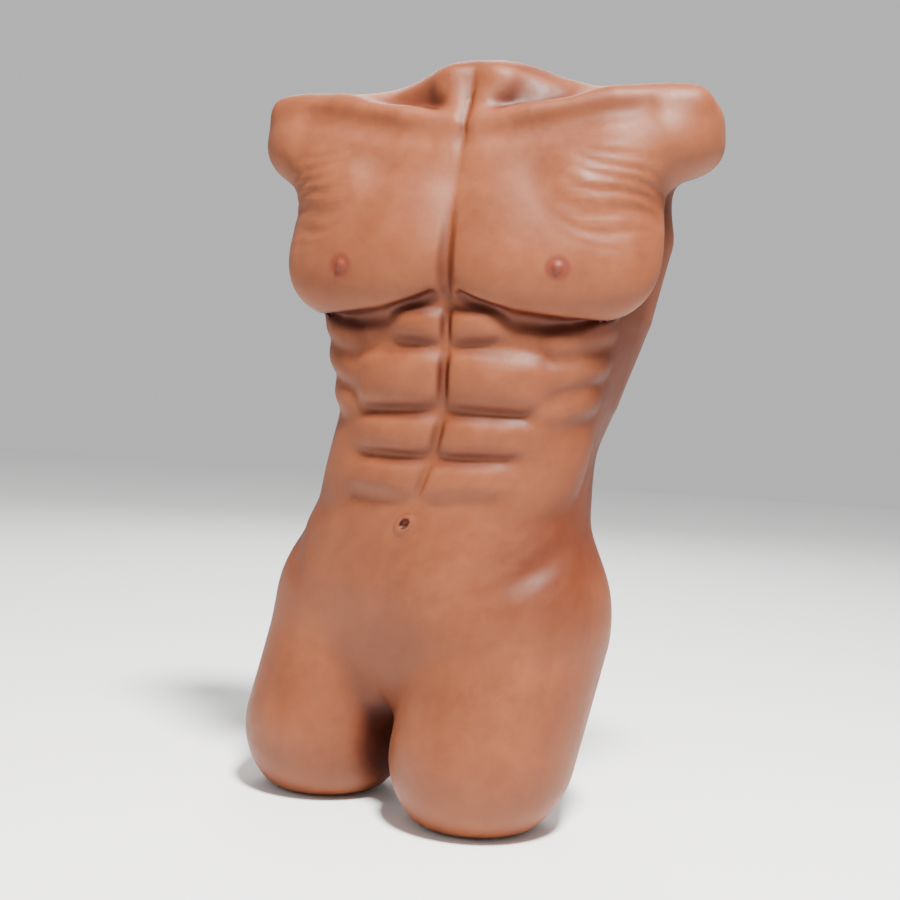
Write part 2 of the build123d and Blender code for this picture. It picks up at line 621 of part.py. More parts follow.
with BuildPart() as hip_foam_core:
    add(CORE)
    split(bisect_by=Plane.XY.offset(BAND_BOTTOM), keep=Keep.BOTTOM)
    with BuildSketch(SWIVEL.offset(LEG_LOW - CHANNEL_GAP)):
        Rectangle(2 * (LEG_OUTER + CHANNEL_GAP), 2 * (PLATE_HALF_DEPTH + CHANNEL_GAP))
    extrude(amount=FLANGE_HIGH + BOLT_HEAD + 2 * CHANNEL_GAP - LEG_LOW, mode=Mode.SUBTRACT)
    with BuildSketch(SWIVEL.offset(FLANGE_HIGH)):
        Circle(SOCKET_RADIUS + CHANNEL_GAP)
    extrude(amount=BAND_BOTTOM - FLANGE_HIGH, mode=Mode.SUBTRACT)
    with BuildSketch(along_hips(-PELVIS_BAR_HALF - CHANNEL_GAP)):
        Circle(BAR_OUTER + CHANNEL_GAP)
    extrude(amount=2 * (PELVIS_BAR_HALF + CHANNEL_GAP), mode=Mode.SUBTRACT)
    for side in SIDES.values():
        with BuildSketch(tube_plane(side, -tube_length(side))):
            Circle(THIGH_OUTER + CHANNEL_GAP)
        extrude(amount=tube_length(side), mode=Mode.SUBTRACT)
        with BuildSketch(tube_plane(side, -CHANNEL_GAP)):
            Circle(STUMP_PLATE_RADIUS + CHANNEL_GAP)
        extrude(amount=STUMP_PLATE + 2 * CHANNEL_GAP, mode=Mode.SUBTRACT)
        with BuildSketch(tube_plane(side, STUMP_PLATE)):
            Circle(SCREW_HEAD_RADIUS + CHANNEL_GAP)
        extrude(amount=SCREW_HEAD + CHANNEL_GAP, mode=Mode.SUBTRACT)

# ---- Labels and files ----
pieces = {
    "chest_skin": chest_skin,
    "waist_skin": waist_skin,
    "hip_skin": hip_skin,
    "chest_foam_core": chest_foam_core,
    "hip_foam_core": hip_foam_core,
    "joint_sleeve": joint_sleeve,
    "waist_fork": waist_fork,
    "spine_tube": spine_tube,
    "spine_plug": spine_plug,
    "neck_plate": neck_plate,
    "shoulder_bar": shoulder_bar,
    **caps,
    **clamps,
    "cross_clamp_bolts": cross_clamp_bolts,
    "cross_clamp_nuts": cross_clamp_nuts,
    "hinge_bolt": hinge_bolt,
    "hinge_nut": hinge_nut,
    "hinge_washers": hinge_washers,
    "friction_discs": friction_discs,
    "waist_knuckle": waist_knuckle,
    "swivel_washer": swivel_washer,
    "swivel_nut": swivel_nut,
    "swivel_bush": swivel_bush,
    "swivel_socket": swivel_socket,
    "pelvis_bracket": pelvis_bracket,
    "pelvis_bar": pelvis_bar,
    "pelvis_bolts": pelvis_bolts,
    "pelvis_nuts": pelvis_nuts,
    **legs,
    "thigh_inserts": thigh_inserts,
    "stump_screws": stump_screws,
}
os.makedirs("parts", exist_ok=True)
for name, piece in pieces.items():
    piece.part.label = name
    export_step(piece.part, f"parts/{name}.step")
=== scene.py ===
"""A soft torso mannequin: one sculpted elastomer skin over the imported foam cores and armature.

The skin is sculpted in a straight, upright body space in millimetres: +X is the figure's own left, the
chest faces -Y and z is the height above the floor. The finished surface is then turned and shifted under
the chest as the hips are.
"""

import json
from math import cos, pi, radians, sin

import bpy
import numpy as np
from mathutils import Matrix, Vector


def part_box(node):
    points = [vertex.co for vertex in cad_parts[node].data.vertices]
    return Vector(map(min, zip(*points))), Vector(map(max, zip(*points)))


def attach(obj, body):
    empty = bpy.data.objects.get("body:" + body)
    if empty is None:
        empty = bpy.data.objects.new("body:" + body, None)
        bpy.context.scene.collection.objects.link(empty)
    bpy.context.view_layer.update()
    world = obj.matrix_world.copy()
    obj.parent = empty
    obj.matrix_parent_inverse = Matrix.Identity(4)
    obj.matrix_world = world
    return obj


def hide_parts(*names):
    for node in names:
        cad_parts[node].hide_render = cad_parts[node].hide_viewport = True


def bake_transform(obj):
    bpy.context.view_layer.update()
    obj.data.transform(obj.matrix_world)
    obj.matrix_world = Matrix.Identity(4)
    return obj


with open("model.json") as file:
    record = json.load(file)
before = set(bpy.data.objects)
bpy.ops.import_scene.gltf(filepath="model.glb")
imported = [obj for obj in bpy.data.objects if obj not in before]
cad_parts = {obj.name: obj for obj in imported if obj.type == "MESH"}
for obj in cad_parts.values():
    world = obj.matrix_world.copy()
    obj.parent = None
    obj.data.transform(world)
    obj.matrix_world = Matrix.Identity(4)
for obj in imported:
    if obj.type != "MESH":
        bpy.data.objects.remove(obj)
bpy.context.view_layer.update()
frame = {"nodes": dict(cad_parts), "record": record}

MM = 0.001
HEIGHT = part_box("chest_skin")[1].z / MM
SHOULDER_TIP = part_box("chest_skin")[1].x / MM
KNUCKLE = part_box("waist_knuckle")
BEND_Z = (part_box("hinge_bolt")[0].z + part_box("hinge_bolt")[1].z) / 2 / MM

# ---- How the hips stand under the chest ----
HIP_TWIST = -17
HIP_SHIFT = -36
TWIST_LEVELS = (170, 370)
SHIFT_LEVELS = (150, 400)
SPINE_BACK = 10
SPINE_Y = (KNUCKLE[0].y + KNUCKLE[1].y) / 2 / MM
HIP_Z = 176
THIGH_LEAN = -0.091
LEAN_ROUND = 30


def smooth(value, low, high):
    share = np.clip((value - low) / (high - low), 0, 1)
    return share * share * (3 - 2 * share)


def posed(points):
    """Turns and shifts points of the straight body as the hips are turned under the chest."""
    z = points[:, 2]
    angle = np.radians(HIP_TWIST * (1 - smooth(z, *TWIST_LEVELS)))
    shift = HIP_SHIFT * (1 - smooth(z, *SHIFT_LEVELS))
    down_the_thigh = (HIP_Z - z + np.hypot(HIP_Z - z, LEAN_ROUND)) / 2
    x, y = points[:, 0] + THIGH_LEAN * down_the_thigh, points[:, 1] - SPINE_BACK
    return np.stack(
        [shift + x * np.cos(angle) - y * np.sin(angle), SPINE_Y + x * np.sin(angle) + y * np.cos(angle), z],
        axis=1,
    )


# ---- Distance fields. Each is negative inside and about a distance in millimetres near its surface ----
def join(a, b, soft):
    """Union of two fields, rounded over soft."""
    share = np.maximum(soft - np.abs(a - b), 0) / soft
    return np.minimum(a, b) - share * share * soft / 4


def carve(a, b, soft):
    """Takes b away from a, rounded over soft."""
    return -join(-a, b, soft)


def capsule(p, start, end, start_radius, end_radius):
    """A rod with round ends whose radius changes evenly from start to end."""
    a, b = np.array(start, float), np.array(end, float)
    share = np.clip((p - a) @ (b - a) / ((b - a) @ (b - a)), 0, 1)
    nearest = a + share[:, None] * (b - a)
    return np.linalg.norm(p - nearest, axis=1) - (start_radius + (end_radius - start_radius) * share)


def rod(p, path, radii):
    """A chain of capsules through the points of path."""
    parts = [
        capsule(p, path[i], path[i + 1], radii[i], radii[i + 1]) for i in range(len(path) - 1)
    ]
    return np.minimum.reduce(parts)


# ---- The straight body: level, half width, depth in front, depth behind ----
TRUNK = np.array([
    (96, 40, 28, 40),
    (128, 84, 46, 58),
    (160, 130, 70, 84),
    (205, 151, 84, 96),
    (246, 146, 85, 88),
    (292, 131, 83, 76),
    (340, 122, 82, 71),
    (392, 131, 86, 75),
    (440, 142, 88, 83),
    (500, 150, 88, 90),
    (556, 154, 86, 92),
    (604, 146, 70, 84),
    (640, 112, 54, 70),
    (664, 80, 46, 60),
    (684, 58, 48, 52),
    (HEIGHT, 54, 47, 50),
])
SQUARENESS = 2.4
CROTCH = 112
NECK_ROUND = 26
NIPPLE = np.array([100, -98, 499])
AREOLA_EDGE = (9, 13)  # the darker skin fades between these distances from the nipple
STRANDS = np.array([138, -68, 560])  # the middle of the strands near the armpit
STRANDS_FADE = (20, 60)
STRAND_SLOPE, STRAND_PITCH, STRAND_RISE = 0.28, 14, 0.5
NAVEL_Z = 272
NAVEL_RADIUS, NAVEL_RIM = 6.5, 2.2


def profile(z, column):
    """A smooth curve through one column of TRUNK."""
    levels, values = TRUNK[:, 0], TRUNK[:, column]
    slopes = np.gradient(values, levels)
    z = np.clip(z, levels[0], levels[-1])
    i = np.clip(np.searchsorted(levels, z) - 1, 0, len(levels) - 2)
    span = levels[i + 1] - levels[i]
    t = (z - levels[i]) / span
    rise = values[i + 1] - values[i]
    a = slopes[i] * span - rise
    b = rise - slopes[i + 1] * span
    return values[i] + rise * t + t * (1 - t) * ((1 - t) * a + t * b)


def trunk(p):
    """Ribcage, abdomen, pelvis and neck without their muscles."""
    x, y, z = p[:, 0], p[:, 1], p[:, 2]
    half = profile(z, 1)
    depth = np.where(y < 0, profile(z, 2), profile(z, 3))
    a, b = np.abs(x) / half, np.abs(y) / depth
    n = SQUARENESS
    size = np.maximum(a**n + b**n, 1e-9) ** (1 / n)
    slope = np.hypot(a ** (n - 1) / half, b ** (n - 1) / depth) * size ** (1 - n)
    wall = (size - 1) / np.maximum(slope, 1 / np.minimum(half, depth))
    capped = carve(wall, HEIGHT - z, NECK_ROUND)
    return carve(capped, z - CROTCH, NECK_ROUND)


def normal_at(field, point, step=0.5):
    ends = point + step * np.concatenate([np.eye(3), -np.eye(3)])
    values = field(ends)
    slope = values[:3] - values[3:]
    return slope / np.linalg.norm(slope)


def on_trunk(x, z, behind=False):
    """The trunk's surface point at x and z, in front or behind, with its outward, left and up directions."""
    half, depth = profile(z, 1), profile(z, 3 if behind else 2)
    along = depth * (1 - min(abs(x) / half, 0.999) ** SQUARENESS) ** (1 / SQUARENESS)
    point = np.array([x, along if behind else -along, z], float)
    outward = normal_at(trunk, point)
    left = np.cross(outward, (0, 0, 1)) if not behind else np.cross((0, 0, 1), outward)
    left = left * (1 if left[0] > 0 else -1) / np.linalg.norm(left)
    up = np.cross(outward, left) if outward[1] > 0 else np.cross(left, outward)
    up = up * (1 if up[2] > 0 else -1) / np.linalg.norm(up)
    return point, outward, left, up


def pillow(p, centre, axes, radii, outline=2.6, crown=2.0):
    """A closed cushion shape: outline is the squareness of its edge and crown that of its section."""
    local = (p - centre) @ np.array(axes).T
    a, b, c = (np.abs(local[:, i]) / radii[i] for i in range(3))
    rim = np.maximum(a**outline + b**outline, 1e-9)
    size = np.maximum(rim ** (crown / outline) + c**crown, 1e-9) ** (1 / crown)
    edge = rim ** (crown / outline - 1)
    slope = np.sqrt(
        (edge * a ** (outline - 1) / radii[0]) ** 2
        + (edge * b ** (outline - 1) / radii[1]) ** 2
        + (c ** (crown - 1) / radii[2]) ** 2
    ) * size ** (1 - crown)
    return (size - 1) / np.maximum(slope, 0.2 / max(radii))


CORNER_REACH = 1.3  # a pillow's corners reach this far past its longest radius
SINK = 12  # the middle of a muscle belly lies this far under the trunk's surface


def tilted(left, up, degrees):
    """Both directions turned in their own plane, anticlockwise seen from outside on the figure's left."""
    c, s = cos(radians(degrees)), sin(radians(degrees))
    return left * c + up * s, up * c - left * s


class Sculpture:
    """The body's field at one set of points. Shapes are mirrored, so each is given for the left half."""

    def __init__(self, points):
        self.p = np.column_stack([np.abs(points[:, 0]), points[:, 1], points[:, 2]])
        self.field = trunk(self.p)

    def near(self, centre, reach):
        return np.flatnonzero(((self.p - centre) ** 2).sum(1) < reach**2)

    def add(self, shape, centre, reach, soft, cut=False):
        """Joins or carves a shape, worked out only for the points within reach of its centre."""
        rows = self.near(np.array(centre, float), reach + 2 * soft)
        if len(rows):
            blend = carve if cut else join
            self.field[rows] = blend(self.field[rows], shape(self.p[rows]), soft)

    def add_pillow(self, centre, axes, radii, outline, crown, soft, cut=False):
        reach = max(radii) * CORNER_REACH
        self.add(lambda q: pillow(q, centre, axes, radii, outline, crown), centre, reach, soft, cut)

    def lump(self, x, z, half_width, half_height, rise, soft, tilt=0, outline=2.0, behind=False):
        """A muscle belly on the trunk's surface, of this visible size."""
        point, outward, left, up = on_trunk(x, z, behind)
        left, up = tilted(left, up, tilt)
        grow = (1 - (SINK / (SINK + rise)) ** 2) ** -0.5
        radii = (half_width * grow, half_height * grow, SINK + rise)
        centre = point - outward * SINK
        self.add_pillow(centre, (left, up, outward), radii, outline, 2.0, soft)

    def rod(self, path, radii, soft, cut=False):
        """A round muscle, tendon or furrow along a path."""
        path = np.array(path, float)
        centre = (path.min(0) + path.max(0)) / 2
        reach = np.linalg.norm(path.max(0) - path.min(0)) / 2 + max(radii)
        self.add(lambda q: rod(q, path, radii), centre, reach, soft, cut)

    def ball(self, centre, radii, soft, cut=False, turn=(0, 0, 0), outline=2.0, crown=2.0):
        """An ellipsoid or rounded block, turned by degrees about X, Y and Z."""
        a, b, c = (radians(t) for t in turn)
        about_x = np.array([[1, 0, 0], [0, cos(a), -sin(a)], [0, sin(a), cos(a)]])
        about_y = np.array([[cos(b), 0, sin(b)], [0, 1, 0], [-sin(b), 0, cos(b)]])
        about_z = np.array([[cos(c), -sin(c), 0], [sin(c), cos(c), 0], [0, 0, 1]])
        axes = (about_z @ about_y @ about_x).T
        centre = np.array(centre, float)
        order = (axes[0], axes[2], axes[1])
        sizes = (radii[0], radii[2], radii[1])
        self.add_pillow(centre, order, sizes, outline, crown, soft, cut)


def body(points):
    """The whole body's field."""
    s = Sculpture(points)
    limbs(s)
    back(s)
    chest(s)
    neck(s)
    abdomen(s)
    small_details(s)
    s.field = carve(s.field, s.p[:, 2], 8)
    s.field = carve(s.field, HEIGHT - s.p[:, 2], NECK_ROUND)
    return s.field


def limbs(s):
    # thigh stump, buttock and the plain closed groin between the thighs
    s.rod([(86, 19, 172), (91, -10, 68)], (91, 85), 26)
    s.ball((60, 44, 190), (66, 58, 78), 26)
    s.ball((0, -2, 150), (62, 62, 56), 30)
    # shoulder stump
    s.ball((140, -4, 627), (79, 52, 42), 20, turn=(0, -4, 0), outline=3.0, crown=2.6)


def back(s):
    # broad back muscle from the armpit to the waist
    muscle = [(126, 24, 588), (131, 20, 540), (120, 22, 475), (98, 24, 400), (84, 20, 350)]
    s.rod(muscle, (38, 42, 36, 26, 16), 22)
    # shoulder blade, cape muscle, long muscles beside the spine, and the furrow between them
    s.lump(82, 556, 46, 66, 8, tilt=8, soft=22, behind=True)
    s.lump(38, 612, 34, 52, 6, tilt=-20, soft=20, behind=True)
    beside = [(26, 74, 600), (30, 74, 500), (29, 62, 420), (28, 52, 340), (30, 52, 250)]
    s.rod(beside, (10, 22, 22, 22, 14), 20)
    furrow = [(0, 104, 640), (0, 102, 520), (0, 90, 430), (0, 82, 340), (0, 92, 256)]
    s.rod(furrow, (4, 8, 9, 8, 3), 22, cut=True)


def chest(s):
    # one breast muscle: a broad plate, undercut below, which runs out onto the shoulder
    s.ball((78, -51, 531), (100, 47, 82), 6, turn=(-17, 0, 12), outline=2.7, crown=2.1)
    s.rod([(110, -48, 570), (172, -32, 612)], (38, 28), 24)
    s.rod([(20, -44, 600), (120, -34, 616)], (30, 34), 24)
    # the shadow line under it, and the narrow groove over the breastbone
    s.rod([(14, -95, 474), (60, -91, 455), (108, -72, 451), (140, -46, 466)], (3, 6, 6, 3), 8, cut=True)
    s.rod([(0, -76, 618), (0, -98, 560), (0, -104, 505), (0, -101, 474)], (3, 4, 5, 4), 6, cut=True)
    # collar bone
    s.rod([(12, -62, 628), (60, -62, 638), (130, -50, 650), (196, -30, 653)], (9, 10, 11, 10), 16)
    s.rod([(30, -92, 618), (90, -84, 630), (160, -66, 646)], (4, 5, 1), 18, cut=True)
    # the strands of the breast muscle, which fan in from the armpit and waver a little
    x, z = s.p[:, 0], s.p[:, 2]
    drift = 5 * np.sin(x / 15) + 5 * np.sin(z / 13 + x / 27)
    strands = np.cos((z + STRAND_SLOPE * x + drift) * 2 * pi / STRAND_PITCH)
    there = 1 - smooth(np.linalg.norm(s.p - STRANDS, axis=1), *STRANDS_FADE)
    s.field += STRAND_RISE * strands * there


def neck(s):
    # the round stump, the slanting neck muscle, and the hollow and furrows in front
    s.ball((0, -14, 662), (50, 36, 44), 16, outline=2.4)
    s.rod([(9, -56, 634), (20, -42, 672)], (9, 15), 14)
    s.rod([(0, -74, 640), (0, -62, 704)], (5, 5), 8, cut=True)
    s.rod([(30, -36, 664), (62, -22, 656)], (16, 16), 14)
    # the shoulder's slope into the neck, and the hollow above the collar bone
    s.rod([(40, 10, 668), (120, 2, 640)], (26, 26), 24)
    s.ball((74, -60, 668), (24, 12, 10), 18, cut=True)


def abdomen(s):
    # blocks of the straight muscle, from the top
    s.lump(27, 450, 26, 16, 9, tilt=6, soft=5, outline=3.0)
    s.lump(45, 401, 44, 27, 12, tilt=-2, soft=5, outline=3.0)
    s.lump(44, 352, 43, 20, 11, soft=5, outline=3.0)
    s.lump(40, 314, 39, 18, 9, tilt=4, soft=6, outline=3.0)
    # the line down the middle
    s.rod([(0, -91, 462), (0, -91, 400), (0, -88, 340), (0, -88, 296)], (2, 2, 2, 1), 6, cut=True)
    # the sides: rib fingers, then the flank and the pad over the hip bone
    for x, z, width in ((116, 444, 26), (110, 412, 28), (104, 380, 26)):
        s.lump(x, z, width, 13, 6, tilt=26, soft=7, outline=2.4)
    s.lump(102, 330, 28, 44, 8, tilt=-6, soft=10, outline=2.4)
    s.rod([(153, -38, 262), (125, -75, 228), (92, -99, 200), (59, -104, 176)], (1, 2, 2, 1), 22, cut=True)


def small_details(s):
    # navel: a small pit with a raised rim
    point, outward = on_trunk(0, NAVEL_Z)[:2]
    reach = 2 * NAVEL_RADIUS + 3
    s.add(lambda q: ring(q, point, outward, NAVEL_RADIUS, NAVEL_RIM), point, reach, 3)
    s.ball(point + outward, (3.4, 5, 3.4), 3, cut=True)
    # nipple
    s.ball(NIPPLE, (4, 4.5, 4), 3)


def ring(p, centre, axis, radius, tube):
    """A torus about centre."""
    along = (p - centre) @ axis
    across = np.linalg.norm(p - centre - along[:, None] * axis, axis=1)
    return np.hypot(across - radius, along) - tube


# ---- From the field to a mesh ----
CELL = 4.5


def grid_field(low, shape):
    axes = [low[i] + CELL * np.arange(shape[i]) for i in range(3)]
    field = np.empty(shape)
    for i, x in enumerate(axes[0]):
        y, z = np.meshgrid(axes[1], axes[2], indexing="ij")
        points = np.column_stack([np.full(y.size, x), y.ravel(), z.ravel()])
        field[i] = body(points).reshape(y.shape)
    return field


def net(field, low):
    """Surface net: one point in each cell that the surface crosses, joined by quads."""
    inside = field < 0
    corners = [(i, j, k) for i in (0, 1) for j in (0, 1) for k in (0, 1)]
    cells = tuple(n - 1 for n in field.shape)

    def at(array, offset):
        return array[tuple(slice(o, o + n) for o, n in zip(offset, cells))]

    count = sum(at(inside, c).astype(np.int8) for c in corners)
    active = (count > 0) & (count < 8)
    total = np.zeros(cells + (3,))
    crossings = np.zeros(cells)
    for c in corners:
        for axis in range(3):
            if c[axis]:
                continue
            d = tuple(o + (a == axis) for a, o in enumerate(c))
            f, g = at(field, c), at(field, d)
            cross = active & ((f < 0) != (g < 0))
            share = np.where(cross, f / np.where(f == g, 1, f - g), 0)
            for a in range(3):
                total[..., a] += np.where(cross, c[a] + (share if a == axis else 0), 0)
            crossings += cross
    index = np.full(cells, -1)
    index[active] = np.arange(active.sum())
    where = np.argwhere(active)
    vertices = low + CELL * (where + total[active] / crossings[active][:, None])
    quads = []
    for axis in range(3):
        b, c = (axis + 1) % 3, (axis + 2) % 3
        first = [slice(None)] * 3
        second = [slice(None)] * 3
        first[axis], second[axis] = slice(0, -1), slice(1, None)
        f, g = inside[tuple(first)], inside[tuple(second)]
        for mask, flip in ((f & ~g, False), (~f & g, True)):
            spots = np.argwhere(mask)
            spots = spots[(spots[:, b] > 0) & (spots[:, c] > 0)]
            square = []
            for db, dc in ((0, 0), (-1, 0), (-1, -1), (0, -1)):
                q = spots.copy()
                q[:, b] += db
                q[:, c] += dc
                square.append(index[q[:, 0], q[:, 1], q[:, 2]])
            square = np.column_stack(square)
            quads.append(square[:, ::-1] if flip else square)
    return vertices, np.concatenate(quads)


def settle(points, rounds=3, step=0.6, reach=2.5, least_slope=0.05):
    """Moves points onto the surface along the field's slope."""
    for _ in range(rounds):
        value = body(points)
        slope = np.empty_like(points)
        for axis in range(3):
            ahead = points.copy()
            ahead[:, axis] += step
            slope[:, axis] = (body(ahead) - value) / step
        steep = np.maximum((slope**2).sum(1), least_slope)
        move = -value[:, None] * slope / steep[:, None]
        length = np.linalg.norm(move, axis=1, keepdims=True)
        points = points + move * np.minimum(1, reach / np.maximum(length, 1e-9))
    return points


def new_mesh(name, vertices, faces):
    mesh = bpy.data.meshes.new(name)
    mesh.from_pydata(vertices.tolist(), [], faces.tolist())
    mesh.update()
    return mesh


def subdivided(vertices, faces):
    """One round of Catmull-Clark subdivision."""
    work = bpy.data.objects.new("work", new_mesh("work", vertices, faces))
    bpy.context.scene.collection.objects.link(work)
    level = work.modifiers.new("level", "SUBSURF")
    level.levels = 1
    done = work.evaluated_get(bpy.context.evaluated_depsgraph_get()).to_mesh()
    co = np.empty(len(done.vertices) * 3)
    done.vertices.foreach_get("co", co)
    corners = np.empty(len(done.loops), int)
    done.loops.foreach_get("vertex_index", corners)
    bpy.data.objects.remove(work)
    return co.reshape(-1, 3), corners.reshape(-1, 4)


GRID_LOW = np.array([-(SHOULDER_TIP + 16), -152.0, -12.0])
GRID_SIZE = (-2 * GRID_LOW[0], 300, HEIGHT + 28)


def sculpted_body():
    low = GRID_LOW
    shape = tuple(int(round(size / CELL + 1)) for size in GRID_SIZE)
    vertices, faces = net(grid_field(low, shape), low)
    vertices = settle(vertices, rounds=2)
    vertices, faces = subdivided(vertices, faces)
    return settle(vertices), faces


# ---- The skin as two pieces, which meet at the hinge's height ----
HOLLOW_REACHES = (12, 26, 44)  # how far out the surface looks for skin that closes it in
GRAIN_FADE = (30, 62)  # the strands' fine grain fades between these distances from their middle


def vertex_normals(vertices, faces):
    mesh = new_mesh("normals", vertices, faces)
    normals = np.empty(len(mesh.vertices) * 3)
    mesh.vertices.foreach_get("normal", normals)
    bpy.data.meshes.remove(mesh)
    return normals.reshape(-1, 3)


def surface_marks(vertices, faces):
    """How closed in each point is, which sets the painted shade in the hollows, and how far the areolas and
    the chest's strands cover it.
    """
    outward = vertex_normals(vertices, faces)
    closed = [1 - body(vertices + reach * outward) / reach for reach in HOLLOW_REACHES]
    mirrored = np.column_stack([np.abs(vertices[:, 0]), vertices[:, 1], vertices[:, 2]])
    return {
        "hollow_shade": np.clip(np.mean(closed, axis=0), 0, 1),
        "areola": 1 - smooth(np.linalg.norm(mirrored - NIPPLE, axis=1), *AREOLA_EDGE),
        "strands": 1 - smooth(np.linalg.norm(mirrored - STRANDS, axis=1), *GRAIN_FADE),
    }


def split_at(faces, vertices, level):
    """The faces below level and those above, each with its own vertices' numbers."""
    below = vertices[faces, 2].mean(1) < level
    for chosen in (faces[below], faces[~below]):
        used, local = np.unique(chosen, return_inverse=True)
        yield used, local.reshape(chosen.shape)


def skin_pieces():
    vertices, faces = sculpted_body()
    place = posed(vertices)
    normals = vertex_normals(place, faces)
    marks = surface_marks(vertices, faces)
    pieces = []
    for name, (used, local) in zip(("lower_skin", "upper_skin"), split_at(faces, vertices, BEND_Z)):
        mesh = new_mesh(name, place[used] * MM, local)
        mesh.shade_smooth()
        layer = mesh.attributes.new("straight", "FLOAT_VECTOR", "POINT")
        layer.data.foreach_set("vector", (vertices[used] * MM).ravel())
        for mark, values in marks.items():
            layer = mesh.attributes.new(mark, "FLOAT", "POINT")
            layer.data.foreach_set("value", values[used])
        mesh.normals_split_custom_set_from_vertices(normals[used].tolist())
        piece = bpy.data.objects.new(name, mesh)
        bpy.context.scene.collection.objects.link(piece)
        pieces.append(piece)
    return pieces


# ---- Materials ----
def material(name, **settings):
    """A new node material with constant values set on its shader's own sockets."""
    made = bpy.data.materials.new(name)
    made.use_nodes = True
    shader = made.node_tree.nodes["Principled BSDF"]
    for socket, value in settings.items():
        shader.inputs[socket.replace("_", " ")].default_value = value
    return made, shader


def node(made, kind, **values):
    new = made.node_tree.nodes.new(kind)
    for name, value in values.items():
        if name in new.inputs:
            new.inputs[name].default_value = value
        else:
            setattr(new, name, value)
    return new


def link(made, source, target):
    made.node_tree.links.new(source, target)


def noise(made, scale, detail=4, roughness=0.5, coordinates=None):
    new = node(made, "ShaderNodeTexNoise", Scale=scale, Detail=detail, Roughness=roughness)
    if coordinates is None:
        coordinates = node(made, "ShaderNodeTexCoord").outputs["Object"]
    link(made, coordinates, new.inputs["Vector"])
    return new


def ramp(made, source, stops):
    """A colour ramp from position and colour pairs."""
    new = node(made, "ShaderNodeValToRGB")
    elements = new.color_ramp.elements
    while len(elements) < len(stops):
        elements.new(0.5)
    for element, (position, colour) in zip(elements, stops):
        element.position = position
        element.color = (*colour, 1)
    link(made, source, new.inputs["Fac"])
    return new


def bump(made, shader, height, strength, distance, before=None):
    new = node(made, "ShaderNodeBump", Strength=strength, Distance=distance)
    link(made, height, new.inputs["Height"])
    if before:
        link(made, before.outputs["Normal"], new.inputs["Normal"])
    link(made, new.outputs["Normal"], shader.inputs["Normal"])
    return new


def mix(made, share, first, second, blend="MIX"):
    """Two colours mixed by a share; each is a socket or a plain colour."""
    new = node(made, "ShaderNodeMix", data_type="RGBA", blend_type=blend)
    for source, target in ((share, 0), (first, 6), (second, 7)):
        if isinstance(source, (float, int)):
            new.inputs[target].default_value = source
        elif isinstance(source, tuple):
            new.inputs[target].default_value = (*source, 1)
        else:
            link(made, source, new.inputs[target])
    return new.outputs[2]


def attribute(made, name, output="Fac"):
    return node(made, "ShaderNodeAttribute", attribute_name=name).outputs[output]


def scaled(made, coordinates, scale):
    new = node(made, "ShaderNodeMapping", Scale=scale)
    link(made, coordinates, new.inputs["Vector"])
    return new.outputs["Vector"]


def times(made, first, second):
    new = node(made, "ShaderNodeMath", operation="MULTIPLY")
    for source, target in ((first, 0), (second, 1)):
        if isinstance(source, (float, int)):
            new.inputs[target].default_value = source
        else:
            link(made, source, new.inputs[target])
    return new.outputs["Value"]


def skin_material():
    """Satin elastomer: mottled tan, with painted shade that darkens and reddens it in the hollows, and fine
    pores and shallow creases.
    """
    made, shader = material(
        "skin",
        Subsurface_Weight=0.25,
        Subsurface_Radius=(1.0, 0.35, 0.18),
        Subsurface_Scale=0.005,
        Specular_IOR_Level=0.28,
        IOR=1.45,
    )
    place = attribute(made, "straight", "Vector")
    broad = noise(made, 11, 5, 0.6, place)
    tone = ramp(
        made,
        broad.outputs["Fac"],
        [(0.30, (0.130, 0.035, 0.012)), (0.5, (0.160, 0.046, 0.017)), (0.72, (0.195, 0.060, 0.024))],
    )
    mottle = noise(made, 70, 4, 0.65, place)
    spots = ramp(made, mottle.outputs["Fac"], [(0.42, (0.88, 0.80, 0.76)), (0.58, (1, 1, 1))])
    colour = mix(made, 0.5, tone.outputs["Color"], spots.outputs["Color"], "MULTIPLY")
    # painted shade: the colour is darkened and reddened where the surface is closed in, as in the creases and
    # under the breast muscle
    shade = ramp(
        made,
        attribute(made, "hollow_shade"),
        [(0.08, (1, 1, 1)), (0.28, (0.62, 0.48, 0.40)), (0.52, (0.30, 0.16, 0.10))],
    )
    colour = mix(made, 1.0, colour, shade.outputs["Color"], "MULTIPLY")
    colour = mix(made, attribute(made, "areola"), colour, (0.125, 0.024, 0.010))
    link(made, colour, shader.inputs["Base Color"])
    gloss = ramp(made, mottle.outputs["Fac"], [(0.35, (0.48, 0.48, 0.48)), (0.65, (0.60, 0.60, 0.60))])
    link(made, gloss.outputs["Color"], shader.inputs["Roughness"])
    streaks = noise(made, 1, 1.5, 0.5, scaled(made, place, (22, 30, 95)))
    grain = times(made, streaks.outputs["Fac"], attribute(made, "strands"))
    creases = bump(made, shader, grain, 0.4, 0.003)
    pores = noise(made, 900, 3, 0.6, place)
    pitted = bump(made, shader, pores.outputs["Fac"], 0.10, 0.0004, creases)
    dimples = noise(made, 120, 3, 0.5, place)
    bump(made, shader, dimples.outputs["Fac"], 0.16, 0.0012, pitted)
    return made


def foam_material():
    made, shader = material("foam", Roughness=0.95, Subsurface_Weight=0.15, Subsurface_Scale=0.004)
    cells = node(made, "ShaderNodeTexVoronoi", Scale=700)
    link(made, node(made, "ShaderNodeTexCoord").outputs["Object"], cells.inputs["Vector"])
    stain = noise(made, 8)
    colour = ramp(made, stain.outputs["Fac"], [(0.35, (0.74, 0.66, 0.44)), (0.65, (0.82, 0.76, 0.58))])
    link(made, colour.outputs["Color"], shader.inputs["Base Color"])
    bump(made, shader, cells.outputs["Distance"], 0.6, 0.0012)
    return made


